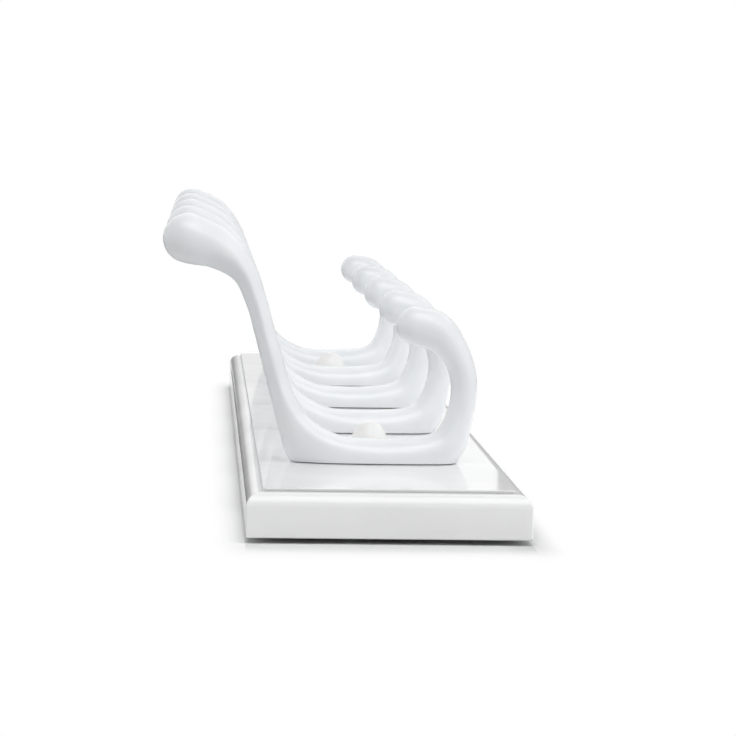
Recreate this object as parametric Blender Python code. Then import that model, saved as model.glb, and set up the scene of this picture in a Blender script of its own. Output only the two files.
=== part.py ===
"""Wall hook rack: a routed board with five cast double hooks, drawn lying on its back.

Metres. +X runs down the wall when the rack hangs, +Y along the board and +Z out of the wall.
The origin is the middle of the plane where the back pads touch the wall.
"""
import math
from typing import NamedTuple

import bmesh
import bpy
import numpy as np
from mathutils import Vector

# Clearance between pieces that touch
SEAT_GAP = 0.0003

# Board
BOARD_WIDTH = 0.1070
BOARD_THICKNESS = 0.0180
EDGE_ROUND_RADIUS = 0.0052
EDGE_LEDGE_WIDTH = 0.0012
EDGE_STEP_HEIGHT = 0.0013
BACK_ARRIS = 0.0006

# Row of hooks
HOOK_COUNT = 5
HOOK_SPACING = 0.1270
END_MARGIN = 0.1016
HOOK_SHIFT = -0.0012

# Hook, side view: set-backs run towards the upper end, reaches towards the lower end, both from the
# middle of the saddle, and rises are over the seat of the hook. A section's inner size lies on the
# side of the throat, its outer size on the back
LOBE_DIAMETER = 0.0198
LOBE_SETBACK = 0.0757
LOBE_RISE = 0.0890
NECK_THICKNESS = 0.0168
NECK_SETBACK = 0.0637
NECK_RISE = 0.0851
SHOULDER_THICKNESS = 0.0103
SHOULDER_SETBACK = 0.0523
SHOULDER_RISE = 0.0750
ARM_THICKNESS = 0.0086
ARM_TOP_SETBACK = 0.0480
ARM_TOP_RISE = 0.0647
ARM_MIDDLE_SETBACK = 0.0422
ARM_MIDDLE_RISE = 0.0446
ARM_FOOT_SETBACK = 0.0356
ARM_FOOT_RISE = 0.0245
ARM_FOOT_INNER = 0.0043
ARM_FOOT_OUTER = 0.0055
UPPER_FILLET_SETBACK = 0.0315
UPPER_FILLET_RISE = 0.0170
UPPER_FILLET_INNER = 0.0047
UPPER_FILLET_OUTER = 0.0079
UPPER_HEEL_SETBACK = 0.0248
UPPER_HEEL_RISE = 0.0097
UPPER_HEEL_INNER = 0.0057
UPPER_HEEL_OUTER = 0.0128
UPPER_BEND_SETBACK = 0.0165
UPPER_BEND_RISE = 0.0043
UPPER_BEND_INNER = 0.0070
SADDLE_HEIGHT = 0.0095
SADDLE_SETBACK = 0.0030
SADDLE_REACH = 0.0090
LOWER_BEND_REACH = 0.0225
LOWER_BEND_RISE = 0.0017
LOWER_HEEL_REACH = 0.0299
LOWER_HEEL_RISE = 0.0074
LOWER_HEEL_THICKNESS = 0.0148
CURL_FOOT_REACH = 0.0345
CURL_FOOT_RISE = 0.0191
CURL_FOOT_INNER = 0.0052
CURL_FOOT_OUTER = 0.0058
CURL_SIDE_REACH = 0.0362
CURL_SIDE_RISE = 0.0326
CURL_SIDE_THICKNESS = 0.0108
CURL_CORNER_REACH = 0.0316
CURL_CORNER_RISE = 0.0456
CURL_CORNER_THICKNESS = 0.0122
CURL_TOP_REACH = 0.0235
CURL_TOP_RISE = 0.0534
CURL_TOP_THICKNESS = 0.0160
TIP_DIAMETER = 0.0156
TIP_REACH = 0.0164
TIP_RISE = 0.0550

# Hook, widths along the board
ARM_WIDTH = 0.0130
HEEL_WIDTH = 0.0170
SADDLE_WIDTH = 0.0208
CURL_WIDTH = 0.0130

# Hook, section: the flat side faces' share of its size at each place and the inner and outer edges'
# share of its width, with bevels between. The ridges are crisper the higher the power: 2 is round
END_LAND = 0.50
NECK_LAND = 0.36
ARM_LAND = 0.25
HEEL_LAND = 0.45
SADDLE_LAND = 0.57
CURL_LAND = 0.42
EDGE_LAND = 0.33
SECTION_POWER = 7.0
ROUND_POWER = 2.0

# Hook screws, driven from the back
SCREW_DIAMETER = 0.0040
SCREW_GRIP = 0.0055
SCREW_HEAD_DIAMETER = 0.0078
SCREW_HEAD_HEIGHT = 0.0026
SCREW_HEAD_ROUND = 0.0010
SCREW_RECESS_DEPTH = 0.0042
SCREW_POINT_LENGTH = 0.0008
SCREW_SETBACK = 0.0160

# Wall holes and the caps that hide them
WALL_HOLE_SPACING = 0.4064
WALL_HOLE_DIAMETER = 0.0050
CAP_DIAMETER = 0.0155
CAP_HEIGHT = 0.0116
CAP_RIM_HEIGHT = 0.0020
CAP_RIM_ROUND = 0.0007
CAP_PLUG_DIAMETER = 0.0090
CAP_PLUG_LENGTH = 0.0060
CAP_PLUG_LEAD = 0.0007
CAP_SOCKET_DEPTH = 0.0100

# Pads on the back
PAD_DIAMETER = 0.0160
PAD_HEIGHT = 0.0018
PAD_SOFT_EDGE = 0.0004
PAD_END_DISTANCE = 0.0380
PAD_SIDE_DISTANCE = 0.0180

# Facets
ROUND_SEGMENTS = 24
SCREW_SEGMENTS = 12
HOOK_RING_POINTS = 16
HOOK_STEPS_PER_STATION = 3
HOOK_END_RINGS = 4
EDGE_ROUND_STEPS = 6
DOME_STEPS = 7
POLE_STEP = 0.5
SHARP_ANGLE = math.radians(35)
CUT_TOLERANCE = 1e-7

BOARD_LENGTH = HOOK_SPACING * (HOOK_COUNT - 1) + 2 * END_MARGIN
BACK_LEVEL = PAD_HEIGHT + SEAT_GAP
FRONT_LEVEL = BACK_LEVEL + BOARD_THICKNESS
HOOK_LEVEL = FRONT_LEVEL + SEAT_GAP
ROW_START = -HOOK_SPACING * (HOOK_COUNT - 1) / 2

WHITE_PAINT = (0.84, 0.85, 0.86, 1.0)
WHITE_ENAMEL = (0.83, 0.845, 0.87, 1.0)
CAP_WHITE = (0.86, 0.85, 0.81, 1.0)
ZINC = (0.62, 0.63, 0.65, 1.0)
PAD_GREY = (0.16, 0.16, 0.17, 1.0)


class Station(NamedTuple):
    """One section of the hook: its point in the side view, its sizes to both sides, its width, and
    the share of its size that its flat side faces take."""
    along: float
    rise: float
    inner: float
    outer: float
    width: float
    land: float


def even_station(along, rise, thickness, width, land):
    """A section with the same size to both sides of its point."""
    return Station(along, rise, thickness / 2, thickness / 2, width, land)


def clear_scene():
    for obj in list(bpy.data.objects):
        bpy.data.objects.remove(obj, do_unlink=True)


def make_material(name, colour, roughness, metallic=0.0):
    material = bpy.data.materials.new(name)
    material.use_nodes = True
    shader = material.node_tree.nodes["Principled BSDF"]
    shader.inputs["Base Color"].default_value = colour
    shader.inputs["Roughness"].default_value = roughness
    shader.inputs["Metallic"].default_value = metallic
    return material


def mesh_from(bm, name):
    """Turn a finished bmesh into a mesh with its faces pointing out, smooth but for its edges."""
    bmesh.ops.recalc_face_normals(bm, faces=bm.faces)
    mesh = bpy.data.meshes.new(name)
    bm.to_mesh(mesh)
    bm.free()
    mesh.shade_smooth()
    mesh.set_sharp_from_angle(angle=SHARP_ANGLE)
    return mesh


def place(name, mesh, parent, location=(0.0, 0.0, 0.0)):
    obj = bpy.data.objects.new(name, mesh)
    obj.location = location
    obj.parent = parent
    bpy.context.collection.objects.link(obj)
    return obj


def bridge_rings(bm, rings):
    """Join rings of equal length with quads."""
    for lower, upper in zip(rings, rings[1:]):
        count = len(lower)
        for i in range(count):
            j = (i + 1) % count
            bm.faces.new((lower[i], lower[j], upper[j], upper[i]))


def add_turned(bm, profile, segments, centre=(0.0, 0.0)):
    """Add a closed turned solid: profile rows are (radius, height), from one pole to the other."""
    rings = []
    for radius, height in profile:
        ring = []
        for i in range(segments):
            angle = 2 * math.pi * i / segments
            x = centre[0] + radius * math.cos(angle)
            y = centre[1] + radius * math.sin(angle)
            ring.append(bm.verts.new((x, y, height)))
        rings.append(ring)
    bridge_rings(bm, rings)
    bm.faces.new(rings[0])
    bm.faces.new(rings[-1])


def turned_mesh(name, profile, segments, material):
    bm = bmesh.new()
    add_turned(bm, profile, segments)
    mesh = mesh_from(bm, name)
    mesh.materials.append(material)
    return mesh


def cut_mesh(mesh, cutter_mesh):
    """Return the mesh with the cutter's solids taken out of it."""
    body = bpy.data.objects.new("body_to_cut", mesh)
    cutter = bpy.data.objects.new("cutter", cutter_mesh)
    for obj in (body, cutter):
        bpy.context.collection.objects.link(obj)
    cutter.hide_render = True
    cutter.display_type = "WIRE"
    modifier = body.modifiers.new("cut", "BOOLEAN")
    modifier.operation = "DIFFERENCE"
    modifier.solver = "EXACT"
    modifier.object = cutter
    graph = bpy.context.evaluated_depsgraph_get()
    result = bpy.data.meshes.new_from_object(body.evaluated_get(graph))
    bpy.data.objects.remove(body, do_unlink=True)
    bpy.data.objects.remove(cutter, do_unlink=True)
    return result


def hook_rows():
    """Places of the hooks along the board."""
    return [ROW_START + HOOK_SPACING * i for i in range(HOOK_COUNT)]


def screw_places():
    """Places of a hook's two screws across the board, from the middle of its saddle."""
    return {"upper": -SCREW_SETBACK, "lower": SCREW_SETBACK}


def wall_hole_rows():
    return [-WALL_HOLE_SPACING / 2, WALL_HOLE_SPACING / 2]


# Board

def edge_profile():
    """Rows (inset from the outline, height) up the routed edge, from the back to the front face."""
    rows = [(BACK_ARRIS, BACK_LEVEL), (0.0, BACK_LEVEL + BACK_ARRIS)]
    shelf = FRONT_LEVEL - EDGE_STEP_HEIGHT
    for i in range(EDGE_ROUND_STEPS + 1):
        angle = math.pi / 2 * i / EDGE_ROUND_STEPS
        inset = EDGE_ROUND_RADIUS * (1 - math.cos(angle))
        height = shelf - EDGE_ROUND_RADIUS * (1 - math.sin(angle))
        rows.append((inset, height))
    top_inset = EDGE_ROUND_RADIUS + EDGE_LEDGE_WIDTH
    rows.append((top_inset, shelf))
    rows.append((top_inset, FRONT_LEVEL))
    return rows


def board_blank():
    bm = bmesh.new()
    rings = []
    for inset, height in edge_profile():
        x = BOARD_WIDTH / 2 - inset
        y = BOARD_LENGTH / 2 - inset
        corners = ((-x, -y), (x, -y), (x, y), (-x, y))
        rings.append([bm.verts.new((cx, cy, height)) for cx, cy in corners])
    bridge_rings(bm, rings)
    bm.faces.new(rings[0])
    bm.faces.new(rings[-1])
    return mesh_from(bm, "board")


def board_holes():
    """Stepped holes: one for each hook screw from the back, one for each wall screw from the front."""
    bm = bmesh.new()
    below = BACK_LEVEL - BACK_ARRIS
    above = FRONT_LEVEL + EDGE_STEP_HEIGHT
    recess_top = BACK_LEVEL + SCREW_RECESS_DEPTH
    head_radius = SCREW_HEAD_DIAMETER / 2 + SEAT_GAP
    shank_radius = SCREW_DIAMETER / 2 + SEAT_GAP
    screw_hole = ((head_radius, below), (head_radius, recess_top),
                  (shank_radius, recess_top), (shank_radius, above))
    for row in hook_rows():
        for along in screw_places().values():
            add_turned(bm, screw_hole, SCREW_SEGMENTS, (HOOK_SHIFT + along, row))
    socket_floor = FRONT_LEVEL - CAP_SOCKET_DEPTH
    socket_radius = CAP_PLUG_DIAMETER / 2 + SEAT_GAP
    wall_hole = ((WALL_HOLE_DIAMETER / 2, below), (WALL_HOLE_DIAMETER / 2, socket_floor),
                 (socket_radius, socket_floor), (socket_radius, above))
    for row in wall_hole_rows():
        add_turned(bm, wall_hole, ROUND_SEGMENTS, (0.0, row))
    return mesh_from(bm, "board_holes")


def make_board(parent, material):
    mesh = cut_mesh(board_blank(), board_holes())
    mesh.name = "board"
    mesh.materials.clear()
    mesh.materials.append(material)
    return place("board", mesh, parent)


# Hook

def hook_stations():
    """Sections of the casting, from the lobe down the arm, over the saddle and up the curl."""
    neck_width = (LOBE_DIAMETER + ARM_WIDTH) / 2
    fillet_width = (ARM_WIDTH + HEEL_WIDTH) / 2
    bend_width = (SADDLE_WIDTH + HEEL_WIDTH) / 2
    saddle_thickness = 2 * SADDLE_HEIGHT
    return [
        even_station(-LOBE_SETBACK, LOBE_RISE, LOBE_DIAMETER, LOBE_DIAMETER, END_LAND),
        even_station(-NECK_SETBACK, NECK_RISE, NECK_THICKNESS, neck_width, NECK_LAND),
        even_station(-SHOULDER_SETBACK, SHOULDER_RISE, SHOULDER_THICKNESS, ARM_WIDTH, ARM_LAND),
        even_station(-ARM_TOP_SETBACK, ARM_TOP_RISE, ARM_THICKNESS, ARM_WIDTH, ARM_LAND),
        even_station(-ARM_MIDDLE_SETBACK, ARM_MIDDLE_RISE, ARM_THICKNESS, ARM_WIDTH, ARM_LAND),
        Station(-ARM_FOOT_SETBACK, ARM_FOOT_RISE,
                ARM_FOOT_INNER, ARM_FOOT_OUTER, ARM_WIDTH, ARM_LAND),
        Station(-UPPER_FILLET_SETBACK, UPPER_FILLET_RISE,
                UPPER_FILLET_INNER, UPPER_FILLET_OUTER, fillet_width, NECK_LAND),
        Station(-UPPER_HEEL_SETBACK, UPPER_HEEL_RISE,
                UPPER_HEEL_INNER, UPPER_HEEL_OUTER, HEEL_WIDTH, HEEL_LAND),
        Station(-UPPER_BEND_SETBACK, UPPER_BEND_RISE,
                UPPER_BEND_INNER, SADDLE_HEIGHT, bend_width, SADDLE_LAND),
        even_station(-SADDLE_SETBACK, 0.0, saddle_thickness, SADDLE_WIDTH, SADDLE_LAND),
        even_station(SADDLE_REACH, 0.0, saddle_thickness, SADDLE_WIDTH, SADDLE_LAND),
        even_station(LOWER_BEND_REACH, LOWER_BEND_RISE, saddle_thickness, bend_width, SADDLE_LAND),
        even_station(LOWER_HEEL_REACH, LOWER_HEEL_RISE, LOWER_HEEL_THICKNESS, HEEL_WIDTH, HEEL_LAND),
        Station(CURL_FOOT_REACH, CURL_FOOT_RISE,
                CURL_FOOT_INNER, CURL_FOOT_OUTER, CURL_WIDTH, CURL_LAND),
        even_station(CURL_SIDE_REACH, CURL_SIDE_RISE, CURL_SIDE_THICKNESS, CURL_WIDTH, CURL_LAND),
        even_station(CURL_CORNER_REACH, CURL_CORNER_RISE, CURL_CORNER_THICKNESS, CURL_WIDTH, CURL_LAND),
        even_station(CURL_TOP_REACH, CURL_TOP_RISE, CURL_TOP_THICKNESS, TIP_DIAMETER, CURL_LAND),
        even_station(TIP_REACH, TIP_RISE, TIP_DIAMETER, TIP_DIAMETER, END_LAND),
    ]


def smooth_rows(stations, steps):
    """Points and slopes of a smooth curve through the stations, by their distance along the hook.

    At both ends the sizes start level, so that the ball ends join without a crease.
    """
    rows = np.array(stations)
    spans = np.linalg.norm(np.diff(rows[:, :2], axis=0), axis=1)
    rates = np.diff(rows, axis=0) / spans[:, None]
    slopes = np.empty_like(rows)
    slopes[0, :2] = rates[0, :2]
    slopes[-1, :2] = rates[-1, :2]
    slopes[[0, -1], 2:] = 0.0
    before = spans[:-1, None]
    after = spans[1:, None]
    slopes[1:-1] = (rates[:-1] * after + rates[1:] * before) / (before + after)
    points = []
    tangents = []
    for i, span in enumerate(spans):
        last = i == len(spans) - 1
        for step in range(steps + last):
            t = step / steps
            points.append(rows[i] * (2 * t**3 - 3 * t**2 + 1) + rows[i + 1] * (3 * t**2 - 2 * t**3)
                          + span * (slopes[i] * (t**3 - 2 * t**2 + t) + slopes[i + 1] * (t**3 - t**2)))
            tangents.append((rows[i] * (6 * t**2 - 6 * t) + rows[i + 1] * (6 * t - 6 * t**2)) / span
                            + slopes[i] * (3 * t**2 - 4 * t + 1) + slopes[i + 1] * (3 * t**2 - 2 * t))
    return points, tangents


def section_point(angle, land, power):
    """A point of a soft octagon of half size 1: round at power 2, with crisper ridges above it."""
    cut = 1 - EDGE_LAND * land
    edge_tilt = (1 - EDGE_LAND) / cut
    face_tilt = (1 - land) / cut

    def size(across, side):
        distances = (across, side, edge_tilt * across + face_tilt * side,
                     edge_tilt * across - face_tilt * side)
        return sum(abs(distance) ** power for distance in distances) ** (1 / power)

    across = math.cos(angle)
    side = math.sin(angle)
    scale = size(across, side)
    return across * size(1.0, 0.0) / scale, side * size(0.0, 1.0) / scale


def section_ring(bm, centre, normal, sizes, land, power=SECTION_POWER):
    """One section of the hook, square to its run: a flat face to each side and bevels between."""
    inner, outer, width = sizes
    ring = []
    for i in range(HOOK_RING_POINTS):
        angle = 2 * math.pi * i / HOOK_RING_POINTS
        across, side = section_point(angle, land, power)
        offset = normal * (across * (inner if across > 0 else outer))
        ring.append(bm.verts.new((centre.x + offset.x, side * width / 2, centre.z + offset.z)))
    return ring


def end_rings(bm, centre, outward, normal, sizes, land):
    """Rings of a ball end, from its rim out to a small flat at the pole, where it is fully round."""
    rings = []
    for i in range(1, HOOK_END_RINGS + 1):
        angle = math.pi / 2 * i / (HOOK_END_RINGS + POLE_STEP)
        middle = centre + outward * (sizes[0] * math.sin(angle))
        power = ROUND_POWER + (SECTION_POWER - ROUND_POWER) * math.cos(angle)
        rings.append(section_ring(bm, middle, normal, sizes * math.cos(angle), land, power))
    return rings


def hook_blank():
    """The casting as one loft, cut flat at its seat."""
    points, tangents = smooth_rows(hook_stations(), HOOK_STEPS_PER_STATION)
    bm = bmesh.new()
    loft = []
    last = len(points) - 1
    for i, (point, slope) in enumerate(zip(points, tangents)):
        run = Vector((slope[0], 0.0, slope[1])).normalized()
        normal = Vector((-run.z, 0.0, run.x))
        centre = Vector((point[0], 0.0, point[1]))
        sizes = point[2:5]
        land = point[5]
        if i == 0:
            loft += end_rings(bm, centre, -run, normal, sizes, land)[::-1]
        loft.append(section_ring(bm, centre, normal, sizes, land))
        if i == last:
            loft += end_rings(bm, centre, run, normal, sizes, land)
    bridge_rings(bm, loft)
    bm.faces.new(loft[0])
    bm.faces.new(loft[-1])
    everything = list(bm.verts) + list(bm.edges) + list(bm.faces)
    bmesh.ops.bisect_plane(bm, geom=everything, dist=CUT_TOLERANCE, plane_co=(0.0, 0.0, 0.0),
                           plane_no=(0.0, 0.0, 1.0), clear_inner=True)
    open_edges = [edge for edge in bm.edges if edge.is_boundary]
    bmesh.ops.holes_fill(bm, edges=open_edges, sides=0)
    return mesh_from(bm, "hook")


def hook_screw_holes():
    """Blind holes in the saddle for the two screws."""
    bm = bmesh.new()
    radius = SCREW_DIAMETER / 2 + SEAT_GAP
    hole = ((radius, -SADDLE_HEIGHT), (radius, SCREW_GRIP + SEAT_GAP))
    for along in screw_places().values():
        add_turned(bm, hole, SCREW_SEGMENTS, (along, 0.0))
    return mesh_from(bm, "hook_screw_holes")


def make_hooks(parent, material):
    mesh = cut_mesh(hook_blank(), hook_screw_holes())
    mesh.name = "hook"
    mesh.materials.clear()
    mesh.materials.append(material)
    for number, row in enumerate(hook_rows(), start=1):
        place(f"hook_{number}", mesh, parent, (HOOK_SHIFT, row, HOOK_LEVEL))


# Screws, caps and pads

def make_screws(parent, material):
    """Pan-head screws: the head sits in the board's recess and the shank ends in the hook."""
    seat = BACK_LEVEL + SCREW_RECESS_DEPTH - SEAT_GAP
    head_end = seat - SCREW_HEAD_HEIGHT
    tip = HOOK_LEVEL + SCREW_GRIP
    head_radius = SCREW_HEAD_DIAMETER / 2
    shank_radius = SCREW_DIAMETER / 2
    profile = ((head_radius - SCREW_HEAD_ROUND, head_end), (head_radius, head_end + SCREW_HEAD_ROUND),
               (head_radius, seat), (shank_radius, seat),
               (shank_radius, tip - SCREW_POINT_LENGTH), (shank_radius - SCREW_POINT_LENGTH, tip))
    mesh = turned_mesh("hook_screw", profile, SCREW_SEGMENTS, material)
    for number, row in enumerate(hook_rows(), start=1):
        for end, along in screw_places().items():
            place(f"hook_{number}_screw_{end}", mesh, parent, (HOOK_SHIFT + along, row, 0.0))


def cap_profile():
    """Rows (radius, height over the cap's seat) from the end of the plug to the top of the dome."""
    plug_radius = CAP_PLUG_DIAMETER / 2
    cap_radius = CAP_DIAMETER / 2
    dome_height = CAP_HEIGHT - CAP_RIM_HEIGHT
    rows = [(plug_radius - CAP_PLUG_LEAD, -CAP_PLUG_LENGTH),
            (plug_radius, CAP_PLUG_LEAD - CAP_PLUG_LENGTH),
            (plug_radius, 0.0),
            (cap_radius - CAP_RIM_ROUND, 0.0),
            (cap_radius, CAP_RIM_ROUND)]
    for i in range(DOME_STEPS):
        angle = math.pi / 2 * i / (DOME_STEPS - POLE_STEP)
        rows.append((cap_radius * math.cos(angle), CAP_RIM_HEIGHT + dome_height * math.sin(angle)))
    return rows


def make_caps(parent, material):
    mesh = turned_mesh("screw_cap", cap_profile(), ROUND_SEGMENTS, material)
    for number, row in enumerate(wall_hole_rows(), start=1):
        place(f"screw_cap_{number}", mesh, parent, (0.0, row, FRONT_LEVEL + SEAT_GAP))


def make_pads(parent, material):
    """Round pads, one near each corner and one in the middle of the back."""
    radius = PAD_DIAMETER / 2
    profile = ((radius - PAD_SOFT_EDGE, 0.0), (radius, PAD_SOFT_EDGE), (radius, PAD_HEIGHT))
    mesh = turned_mesh("back_pad", profile, ROUND_SEGMENTS, material)
    x = BOARD_WIDTH / 2 - PAD_SIDE_DISTANCE
    y = BOARD_LENGTH / 2 - PAD_END_DISTANCE
    places = ((0.0, 0.0), (-x, -y), (x, -y), (-x, y), (x, y))
    for number, (px, py) in enumerate(places, start=1):
        place(f"back_pad_{number}", mesh, parent, (px, py, 0.0))


def main():
    clear_scene()
    rack = bpy.data.objects.new("hook_rack", None)
    bpy.context.collection.objects.link(rack)
    make_board(rack, make_material("white_paint", WHITE_PAINT, roughness=0.22))
    make_hooks(rack, make_material("white_enamel", WHITE_ENAMEL, roughness=0.20))
    make_screws(rack, make_material("zinc_plate", ZINC, roughness=0.35, metallic=1.0))
    make_caps(rack, make_material("cap_plastic", CAP_WHITE, roughness=0.38))
    make_pads(rack, make_material("pad_felt", PAD_GREY, roughness=0.95))


main()
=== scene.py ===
"""Looks of a white wall hook rack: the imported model, dressed and set up for a studio picture.

Metres, in the model's own frame: +X runs down the wall when the rack hangs, +Y along the board and
+Z out of the wall. In the picture the rack lies on its back on a pale table, seen from one end.
"""
import math
from typing import NamedTuple

import bmesh
import bpy
import numpy as np
from mathutils import Matrix, Vector

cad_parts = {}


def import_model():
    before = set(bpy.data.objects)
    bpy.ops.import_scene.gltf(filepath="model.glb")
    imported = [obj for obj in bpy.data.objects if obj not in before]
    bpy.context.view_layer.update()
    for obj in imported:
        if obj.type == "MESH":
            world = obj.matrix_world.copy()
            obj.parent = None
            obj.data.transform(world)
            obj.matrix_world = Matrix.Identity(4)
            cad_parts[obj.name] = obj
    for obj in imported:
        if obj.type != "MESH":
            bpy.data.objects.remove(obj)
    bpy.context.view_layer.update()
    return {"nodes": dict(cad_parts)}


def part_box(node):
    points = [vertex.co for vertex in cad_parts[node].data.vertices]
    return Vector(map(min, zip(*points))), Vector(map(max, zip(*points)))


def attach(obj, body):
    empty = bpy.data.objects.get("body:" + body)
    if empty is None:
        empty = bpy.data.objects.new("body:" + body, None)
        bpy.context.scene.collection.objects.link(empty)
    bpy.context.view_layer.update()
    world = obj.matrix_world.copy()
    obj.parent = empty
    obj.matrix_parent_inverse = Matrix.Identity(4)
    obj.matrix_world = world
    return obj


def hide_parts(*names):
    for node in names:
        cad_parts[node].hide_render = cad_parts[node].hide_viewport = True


# Camera: a long lens, fitted to a frame of 736 x 736 pixels
FRAME_PIXELS = 736
FOCAL_PIXELS = 3132.5
SENSOR_WIDTH_MM = 36.0
CAMERA_PLACE = (-0.07122, -1.50877, 0.15364)
CAMERA_YAW = math.radians(3.079)
CAMERA_PITCH = math.radians(4.345)
CAMERA_ROLL = math.radians(-0.976)

# Board edge: a step, a ledge and a quarter round, with corners softened by the paint
EDGE_ROUND_RADIUS = 0.0052
EDGE_LEDGE_WIDTH = 0.0012
EDGE_STEP_HEIGHT = 0.0013
BACK_ARRIS = 0.0006
STEP_FILLET = 0.00015
FRONT_ARRIS = 0.00015
PLAN_CORNER_RADIUS = 0.0007

# Hook, side view: set-backs run towards the upper end, reaches towards the lower end, both from the
# middle of the saddle, and rises are over the seat of the hook. A section's inner size lies on the
# side of the throat, its outer size on the back
HOOK_SHIFT = -0.0012
LOBE_DIAMETER = 0.0198
LOBE_SETBACK = 0.0757
LOBE_RISE = 0.0890
NECK_THICKNESS = 0.0168
NECK_SETBACK = 0.0637
NECK_RISE = 0.0851
SHOULDER_THICKNESS = 0.0103
SHOULDER_SETBACK = 0.0523
SHOULDER_RISE = 0.0750
ARM_THICKNESS = 0.0086
ARM_TOP_SETBACK = 0.0480
ARM_TOP_RISE = 0.0647
ARM_MIDDLE_SETBACK = 0.0422
ARM_MIDDLE_RISE = 0.0446
ARM_FOOT_SETBACK = 0.0356
ARM_FOOT_RISE = 0.0245
ARM_FOOT_INNER = 0.0043
ARM_FOOT_OUTER = 0.0055
UPPER_FILLET_SETBACK = 0.0315
UPPER_FILLET_RISE = 0.0170
UPPER_FILLET_INNER = 0.0047
UPPER_FILLET_OUTER = 0.0079
UPPER_HEEL_SETBACK = 0.0248
UPPER_HEEL_RISE = 0.0097
UPPER_HEEL_INNER = 0.0057
UPPER_HEEL_OUTER = 0.0128
UPPER_BEND_SETBACK = 0.0165
UPPER_BEND_RISE = 0.0043
UPPER_BEND_INNER = 0.0070
SADDLE_HEIGHT = 0.0095
SADDLE_SETBACK = 0.0030
SADDLE_REACH = 0.0090
LOWER_BEND_REACH = 0.0225
LOWER_BEND_RISE = 0.0017
LOWER_HEEL_REACH = 0.0299
LOWER_HEEL_RISE = 0.0074
LOWER_HEEL_THICKNESS = 0.0148
CURL_FOOT_REACH = 0.0345
CURL_FOOT_RISE = 0.0191
CURL_FOOT_INNER = 0.0052
CURL_FOOT_OUTER = 0.0058
CURL_SIDE_REACH = 0.0362
CURL_SIDE_RISE = 0.0326
CURL_SIDE_THICKNESS = 0.0108
CURL_CORNER_REACH = 0.0316
CURL_CORNER_RISE = 0.0456
CURL_CORNER_THICKNESS = 0.0122
CURL_TOP_REACH = 0.0235
CURL_TOP_RISE = 0.0534
CURL_TOP_THICKNESS = 0.0160
TIP_DIAMETER = 0.0156
TIP_REACH = 0.0164
TIP_RISE = 0.0550

# Hook, widths along the board, round at the seat and reach of the ball ends past their middle
ARM_WIDTH = 0.0130
HEEL_WIDTH = 0.0170
SADDLE_WIDTH = 0.0208
CURL_WIDTH = 0.0130
SEAT_ROUND = 0.0005
BALL_REACH = 0.984

# Hook, section: the flat side faces' share of its size at each place and the inner and outer edges'
# share of its width, with bevels between. The ridges are crisper the higher the power: 2 is round
END_LAND = 0.50
NECK_LAND = 0.36
ARM_LAND = 0.25
HEEL_LAND = 0.45
SADDLE_LAND = 0.57
CURL_LAND = 0.42
EDGE_LAND = 0.33
SECTION_POWER = 7.0
ROUND_POWER = 2.0

# Screws and their holes
HOLE_CLEARANCE = 0.0003
SCREW_DIAMETER = 0.0040
SCREW_CORE_DIAMETER = 0.0033
SCREW_PITCH = 0.0007
SCREW_GRIP = 0.0055
SCREW_HEAD_HEIGHT = 0.0026
SCREW_HEAD_ROUND = 0.0010
SCREW_HEAD_CROWN = 0.0004
SCREW_HEAD_ARC_START = -70
SCREW_RECESS_DEPTH = 0.0042
SCREW_POINT_LENGTH = 0.0008
SCREW_SETBACK = 0.0160
CROSS_LENGTH = 0.0044
CROSS_WIDTH = 0.0010
CROSS_DEPTH = 0.0015
CROSS_TAPER = 0.45

# Wall holes and the caps over them
WALL_HOLE_DIAMETER = 0.0050
CAP_RIM_HEIGHT = 0.0020
CAP_RIM_ROUND = 0.0007
CAP_PLUG_DIAMETER = 0.0090
CAP_PLUG_LEAD = 0.0007
CAP_SOCKET_DEPTH = 0.0100

# Pads
PAD_SOFT_EDGE = 0.0005

# Paint and enamel: darkest and lightest colours, range of roughness, and the (scale, depth in metres)
# of the orange peel and of the slow waves
PAINT_COLOURS = ((0.86, 0.86, 0.865), (0.89, 0.89, 0.89))
PAINT_ROUGHNESS = (0.05, 0.08)
PAINT_PEEL = (420.0, 4e-7)
PAINT_WAVES = (45.0, 3e-6)
ENAMEL_COLOURS = ((0.80, 0.82, 0.84), (0.83, 0.845, 0.86))
ENAMEL_ROUGHNESS = (0.20, 0.26)
ENAMEL_PEEL = (520.0, 1.5e-6)
ENAMEL_WAVES = (70.0, 1e-5)
GLOSS_IOR = 1.5

# Noise: the middle of its range, which colours and roughness follow
NOISE_MIDDLE = (0.3, 0.7)

# Painted crease shade, which darkens the colour where a point sees little open sky: how far it looks out
# of a crease, between which shares of open sky it fades out, and the share of the paint's colour that it
# leaves where it is darkest
CREASE_SHADE_REACH = 0.0022
CREASE_SHADE_OPENNESS = (0.4, 0.85)
CREASE_SHADE_DARKEST = 0.35

# Table: distances from the board over which the paper turns from white to grey, and over which its
# image in the gloss turns to plain white
TABLE_HALF = 6.0
PAPER_SPAN = (0.10, 0.50)
PAPER_TONES = (0.9, 0.25)
MIRRORED_FADE = (1.5, 2.5)

# Shades on the table: close to the board's ends, beside the right corner of the near end, and the
# reach of the shadow that the camera sees. Reaches are along X, Y and Z
CONTACT_REACH = (0.0005, 0.030, 1.0)
CONTACT_SHADE = 0.8
CORNER_OFFSET = (0.004, 0.07)
CORNER_REACH = (0.024, 0.14, 1.0)
CORNER_SHADE = 0.62
SHADOW_REACH = (0.013, 0.050, 1.0)

# Light
WHITE = (1.0, 1.0, 1.0, 1.0)
AMBIENT_COLOUR = (0.94, 0.97, 1.0, 1.0)
AMBIENT_STRENGTH = 0.10
FRONT_LAMP_AIM = (0.0, -0.1, 0.05)
BACK_LAMP_AIM = (0.0, 0.0, 0.05)
SIDE_LAMP_DISTANCE = 1.9
SIDE_LAMP_MIDDLE = (0.2, 0.7)
SIDE_LAMP_SIZE = (4.0, 1.4)

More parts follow.
